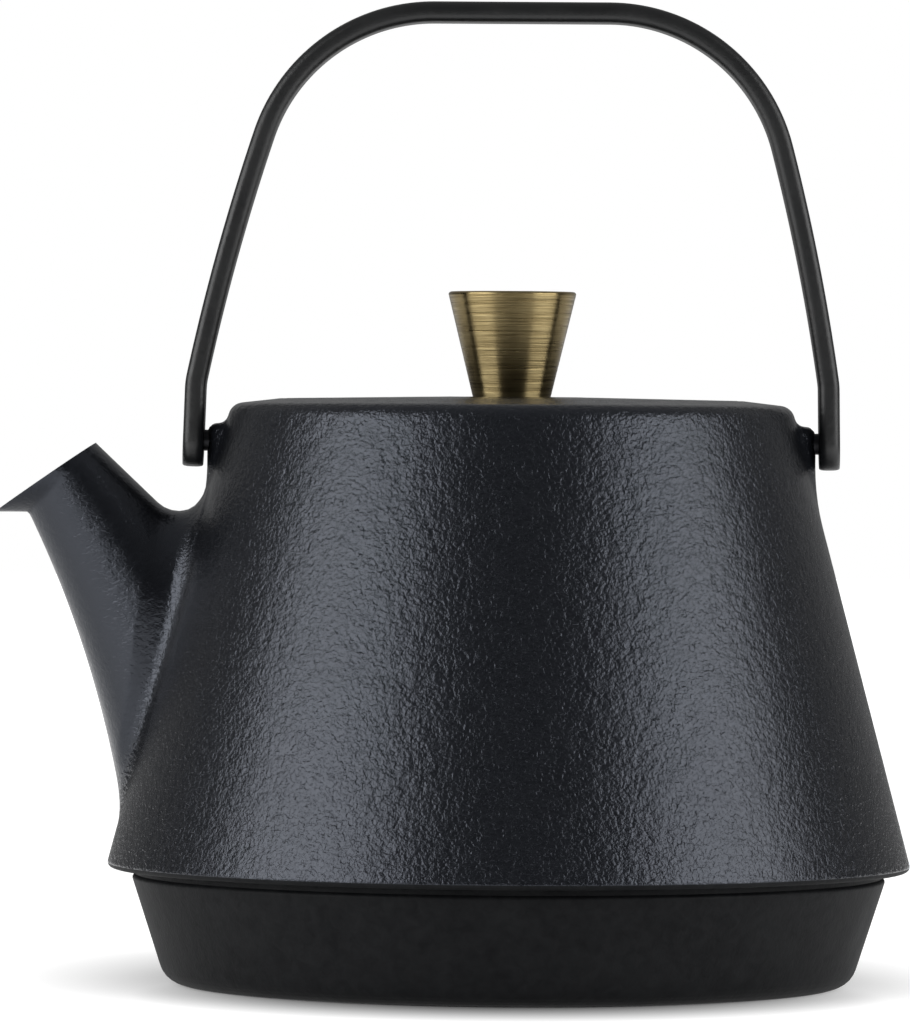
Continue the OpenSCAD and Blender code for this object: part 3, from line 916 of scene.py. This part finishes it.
def add_noise(tree, where, scale, detail, distortion=0.0):
    """A noise texture on those coordinates, with features about 1/scale metres long."""
    texture = tree.nodes.new("ShaderNodeTexNoise")
    texture.inputs["Scale"].default_value = scale
    texture.inputs["Detail"].default_value = detail
    texture.inputs["Distortion"].default_value = distortion
    tree.links.new(where, texture.inputs["Vector"])
    return texture.outputs["Fac"]


def add_range(tree, value, given, wanted):
    """Maps a value from the given range to the wanted one, and holds it there."""
    spread = tree.nodes.new("ShaderNodeMapRange")
    spread.inputs["From Min"].default_value = given[0]
    spread.inputs["From Max"].default_value = given[1]
    spread.inputs["To Min"].default_value = wanted[0]
    spread.inputs["To Max"].default_value = wanted[1]
    tree.links.new(value, spread.inputs["Value"])
    return spread.outputs["Result"]


def add_math(tree, operation, first, second=0.0):
    """An arithmetic node on two links, or a link and a number."""
    node = tree.nodes.new("ShaderNodeMath")
    node.operation = operation
    for socket, value in zip(node.inputs, (first, second)):
        if isinstance(value, (int, float)):
            socket.default_value = value
        else:
            tree.links.new(value, socket)
    return node.outputs[0]


def add_vector(tree, operation, where, vector, output):
    """A vector node on those coordinates and a fixed vector."""
    node = tree.nodes.new("ShaderNodeVectorMath")
    node.operation = operation
    node.inputs[1].default_value = vector
    tree.links.new(where, node.inputs[0])
    return node.outputs[output]


def add_mix(tree, factor, first, second):
    """A blend of two colours."""
    node = tree.nodes.new("ShaderNodeMix")
    node.data_type = "RGBA"
    node.inputs["A"].default_value = (*first, 1)
    node.inputs["B"].default_value = (*second, 1)
    tree.links.new(factor, node.inputs["Factor"])
    return node.outputs["Result"]


def add_bump(tree, height, distance, shader):
    """Roughens the shader's surface by a height that is distance metres deep."""
    bump = tree.nodes.new("ShaderNodeBump")
    bump.inputs["Strength"].default_value = 1.0
    bump.inputs["Distance"].default_value = distance
    tree.links.new(height, bump.inputs["Height"])
    tree.links.new(bump.outputs["Normal"], shader.inputs["Normal"])


def set_surface(tree, shader, colour, roughness):
    """Links a colour and a roughness to the shader."""
    tree.links.new(colour, shader.inputs["Base Color"])
    tree.links.new(roughness, shader.inputs["Roughness"])


def cast_iron_material():
    """Black enamelled iron with a crinkled grain, smoother where the grain share is low."""
    grain_depth, coarse_share = 0.00020, 0.8
    material, tree, shader, where = new_material("cast_iron")
    share = tree.nodes.new("ShaderNodeAttribute")
    share.attribute_name = "grain"
    fine = add_noise(tree, where, scale=1300, detail=2, distortion=0.6)
    coarse = add_noise(tree, where, scale=420, detail=1)
    height = add_math(tree, "ADD", fine, add_math(tree, "MULTIPLY", coarse, coarse_share))
    lifted = add_math(tree, "MULTIPLY", height, share.outputs["Fac"])
    add_bump(tree, lifted, grain_depth, shader)
    colour = add_mix(tree, fine, (0.0036, 0.0040, 0.0052), (0.0066, 0.0072, 0.0090))
    set_surface(tree, shader, colour, add_range(tree, coarse, NOISE_RANGE, (0.21, 0.27)))
    shader.inputs["Specular Tint"].default_value = ENAMEL_TINT
    return material


def base_material():
    """The base below the belt: the same black, dull and faintly mottled."""
    grain_depth, both_range = 0.00005, (0.7, 1.3)
    material, tree, shader, where = new_material("dull_iron")
    grain = add_noise(tree, where, scale=1500, detail=2)
    clouds = add_noise(tree, where, scale=90, detail=2)
    mottle = add_noise(tree, where, scale=460, detail=2, distortion=0.6)
    add_bump(tree, add_math(tree, "ADD", grain, mottle), grain_depth, shader)
    shade = add_range(tree, add_math(tree, "ADD", clouds, mottle), both_range, (0, 1))
    colour = add_mix(tree, shade, (0.0052, 0.0056, 0.0064), (0.0118, 0.0124, 0.0134))
    set_surface(tree, shader, colour, add_range(tree, clouds, NOISE_RANGE, (0.52, 0.60)))
    shader.inputs["Specular IOR Level"].default_value = 0.10
    return material


def brass_material():
    """Antique brass, turned: fine rings round the axis, darker where the patina stays."""
    flat_across, ring_depth = (0.03, 0.03, 1.0), 0.00008
    ring_share, patina_share, tone_range = 0.7, 0.3, (0.35, 0.65)
    material, tree, shader, where = new_material("antique_brass")
    squashed = add_vector(tree, "MULTIPLY", where, flat_across, "Vector")
    rings = add_noise(tree, squashed, scale=2600, detail=2)
    patina = add_noise(tree, where, scale=260, detail=3)
    tone = add_math(tree, "ADD", add_math(tree, "MULTIPLY", rings, ring_share),
                    add_math(tree, "MULTIPLY", patina, patina_share))
    shade = add_range(tree, tone, tone_range, (0, 1))
    colour = add_mix(tree, shade, (0.210, 0.158, 0.072), (0.380, 0.300, 0.150))
    set_surface(tree, shader, colour, add_range(tree, rings, NOISE_RANGE, (0.26, 0.36)))
    add_bump(tree, rings, ring_depth, shader)
    round_axis = tree.nodes.new("ShaderNodeTangent")
    round_axis.direction_type = "RADIAL"
    round_axis.axis = "Z"
    tree.links.new(round_axis.outputs["Tangent"], shader.inputs["Tangent"])
    shader.inputs["Anisotropic"].default_value = 0.9
    shader.inputs["Anisotropic Rotation"].default_value = 0.25
    shader.inputs["Metallic"].default_value = 1.0
    return material


def bar_material():
    """Satin black paint on the bail, with a slight hammered unevenness and worn grain."""
    paint_depth = 0.00006
    material, tree, shader, where = new_material("satin_black")
    grain = add_noise(tree, where, scale=900, detail=3)
    waves = add_noise(tree, where, scale=120, detail=1)
    add_bump(tree, add_math(tree, "ADD", grain, waves), paint_depth, shader)
    colour = add_mix(tree, grain, (0.0030, 0.0034, 0.0038), (0.0056, 0.0060, 0.0064))
    set_surface(tree, shader, colour, add_range(tree, waves, NOISE_RANGE, (0.36, 0.44)))
    return material


def plain_material(name, colour, roughness, metallic=0.0):
    """A satin or metal surface with faint mottling in its roughness."""
    spread = 0.05
    material, tree, shader, where = new_material(name)
    mottle = add_noise(tree, where, scale=420, detail=2)
    mottled = add_range(tree, mottle, NOISE_RANGE, (roughness - spread, roughness + spread))
    tree.links.new(mottled, shader.inputs["Roughness"])
    shader.inputs["Base Color"].default_value = (*colour, 1)
    shader.inputs["Metallic"].default_value = metallic
    return material


# ---------- stage, light and camera ----------

# The floor's colour: a painted contact shadow where the pot touches it, and pale away from it
FLOOR_PAINTED_SHADOW, FLOOR_PALE = (0.22, 0.22, 0.22), (0.7, 0.7, 0.7)


def floor_glow_with_painted_shadow(tree, from_pot, painted_contact_shadow):
    """How bright the floor looks by itself: white away from the pot, dimmed by a painted shadow at
    the pot's foot.
    """
    # Painted shadow: the glow fades near the pot and is darkened again at its foot
    near = add_range(tree, from_pot, (0.060, 0.092), (0.27, 0.70))
    beyond = add_range(tree, from_pot, (0.3, 1.2), (0.0, 0.30))
    return add_math(tree, "MULTIPLY", add_math(tree, "ADD", near, beyond), painted_contact_shadow)


def floor_painted_reflection(tree, where, from_pot):
    """How bright the floor is in reflections, a painted reflection: brighter in front, less beside
    the pot as painted shade, and nothing far away.
    """
    place = tree.nodes.new("ShaderNodeSeparateXYZ")
    tree.links.new(where, place.inputs[0])
    # Painted reflection: this glow is seen only in reflections; it is brighter in front and
    # darkened beside the pot as painted shade
    ahead = add_range(tree, place.outputs["Y"], (-0.16, -0.02), (1.4, 0.8))
    sideways = add_math(tree, "ABSOLUTE", place.outputs["X"])
    painted_shade_aside = add_range(tree, sideways, (0.07, 0.19), (0.45, 1.0))
    fading = add_range(tree, from_pot, (0.35, 0.8), (1.0, 0.0))
    return add_math(tree, "MULTIPLY", add_math(tree, "MULTIPLY", ahead, painted_shade_aside), fading)


def floor_material():
    """A pale surface with a painted shadow round the pot's foot in its colour and glow. Its glow
    is seen by the camera and in reflections, and lights nothing.
    """
    shadow_middle, oval, foot_middle = (-0.0048, 0.0154, 0), (1, 0.7, 1), (0, -0.034, 0)
    material, tree, shader, where = new_material("floor")
    from_foot = add_vector(tree, "DISTANCE", where, foot_middle, "Value")
    # Painted contact shadow: how much the floor's colour and glow are darkened near the pot's foot
    painted_contact_shadow = add_range(tree, from_foot, (0.030, 0.070), (0.0, 1.0))
    oval_place = add_vector(tree, "MULTIPLY", where, oval, "Vector")
    from_pot = add_vector(tree, "DISTANCE", oval_place, shadow_middle, "Value")
    path = tree.nodes.new("ShaderNodeLightPath")
    glow = add_math(tree, "MULTIPLY", floor_glow_with_painted_shadow(tree, from_pot, painted_contact_shadow),
                    path.outputs["Is Camera Ray"])
    painted_shine = add_math(tree, "MULTIPLY", floor_painted_reflection(tree, where, from_pot),
                     path.outputs["Is Glossy Ray"])
    seen = add_math(tree, "ADD", glow, painted_shine)
    tree.links.new(seen, shader.inputs["Emission Strength"])
    # Painted shadow: the floor's colour is dark at the pot's foot
    tree.links.new(add_mix(tree, painted_contact_shadow, FLOOR_PAINTED_SHADOW, FLOOR_PALE), shader.inputs["Base Color"])
    shader.inputs["Emission Color"].default_value = (1, 1, 1, 1)
    shader.inputs["Roughness"].default_value = 0.9
    shader.inputs["Specular IOR Level"].default_value = 0.0
    return material


def make_floor():
    """A pale floor that looks white and keeps the pot's shadow: the lamps cast it, and a painted
    shadow in its colour and glow deepens it at the foot.
    """
    half = 4000
    corners = [(-half, -half, 0), (half, -half, 0), (half, half, 0), (-half, half, 0)]
    piece = make_mesh("floor", corners, [(0, 1, 2, 3)])
    piece.data.materials.append(floor_material())


def make_world():
    """White where it is seen or reflected, and a softer even light everywhere else."""
    ambient = 0.45
    world = bpy.data.worlds.new("studio")
    world.use_nodes = True
    tree = world.node_tree
    path = tree.nodes.new("ShaderNodeLightPath")
    either = add_math(tree, "MAXIMUM", path.outputs["Is Camera Ray"],
                      path.outputs["Is Glossy Ray"])
    seen = add_math(tree, "MAXIMUM", either, path.outputs["Is Transmission Ray"])
    background = tree.nodes["Background"]
    tree.links.new(add_range(tree, seen, (0, 1), (ambient, 1)), background.inputs["Strength"])
    background.inputs["Color"].default_value = (1, 1, 1, 1)
    bpy.context.scene.world = world


def make_dark_room():
    """A dim glowing dome over the pot, seen only in reflections as a painted reflection: darkest
    low down in front, brighter above and behind.
    """
    radius, low_angle, steps = 3000, -2, 24
    turns = [math.radians(low_angle + (90 - low_angle) * i / steps) for i in range(steps)]
    profile = [(radius * math.cos(a), radius * math.sin(a)) for a in turns] + [(0, radius)]
    piece = revolve("dark_room", profile, around=64)
    material, tree, shader, where = new_material("dark_room")
    tree.nodes.remove(shader)
    place = tree.nodes.new("ShaderNodeSeparateXYZ")
    tree.links.new(where, place.inputs[0])
    # Painted reflection: the dome's glow rises above and behind the pot
    above = add_range(tree, place.outputs["Z"], (0.5, 3.0), (0.02, 0.35))
    behind = add_range(tree, place.outputs["Y"], (0.0, 3.0), (0.0, 0.24))
    glow = tree.nodes.new("ShaderNodeEmission")
    tree.links.new(add_math(tree, "ADD", above, behind), glow.inputs["Strength"])
    tree.links.new(glow.outputs[0], tree.nodes["Material Output"].inputs["Surface"])
    piece.data.materials.append(material)
    piece.visible_camera = False
    piece.visible_diffuse = False
    piece.visible_shadow = False
    piece.visible_transmission = False


def make_softbox(name, azimuth, elevation, size, radiance):
    """A soft light aimed at the pot. Its azimuth is in degrees from the camera's side."""
    distance, target = 1.25, Vector((0, 0, 0.07))
    light = bpy.data.lights.new(name, "AREA")
    light.shape = "RECTANGLE"
    light.size, light.size_y = size
    light.energy = radiance * math.pi * size[0] * size[1]
    a, e = math.radians(azimuth), math.radians(elevation)
    way = Vector((math.sin(a) * math.cos(e), -math.cos(a) * math.cos(e), math.sin(e)))
    lamp = bpy.data.objects.new(name, light)
    lamp.location = target + distance * way
    lamp.rotation_euler = (-way).to_track_quat("-Z", "Y").to_euler()
    bpy.context.scene.collection.objects.link(lamp)


def make_camera():
    """A long lens level with the lid, at the photograph's viewing angle."""
    focal_px, image_h, sensor_h = 8500, 1024, 24.0
    place = Vector((0.0, -1.611, 0.1084))
    aim = Vector((-0.0106, 0, 0.0895))
    roll = math.radians(0.38)
    camera = bpy.data.cameras.new("camera")
    camera.sensor_fit = "VERTICAL"
    camera.sensor_height = sensor_h
    camera.lens = focal_px / image_h * sensor_h
    camera.clip_end = 50
    holder = bpy.data.objects.new("camera", camera)
    holder.location = place
    facing = (aim - place).to_track_quat("-Z", "Y")
    holder.rotation_mode = "QUATERNION"
    holder.rotation_quaternion = facing @ Quaternion((0, 0, 1), roll)
    bpy.context.scene.collection.objects.link(holder)
    bpy.context.scene.camera = holder


def dress_frame_nodes(finishes):
    """Gives the CAD nodes that stay visible their materials."""
    for node, material in finishes.items():
        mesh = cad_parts[node].data
        mesh.materials.clear()
        mesh.materials.append(material)


make_camera()
make_floor()
make_world()
make_dark_room()
make_softbox("softbox_left", azimuth=-61, elevation=16, size=(1.13, 0.75), radiance=4.2)
make_softbox("softbox_right", azimuth=65, elevation=16, size=(1.02, 0.75), radiance=3.9)

iron = cast_iron_material()
blackened = plain_material("blackened_steel", (0.03, 0.03, 0.033), 0.45, 1.0)
steel = plain_material("stainless", (0.56, 0.56, 0.58), 0.3, 1.0)
dress_frame_nodes({
    "pivot_stud_left": blackened, "pivot_stud_right": blackened,
    "knob_screw": steel, "knob_washer": steel, "infuser_rim": steel,
    "infuser_floor": steel, "infuser_band": steel})
make_casting(iron, base_material())
make_lid(iron)
make_knob(brass_material())
make_bail(bar_material())
make_infuser_wall(steel)

bpy.context.scene.view_settings.view_transform = "Standard"
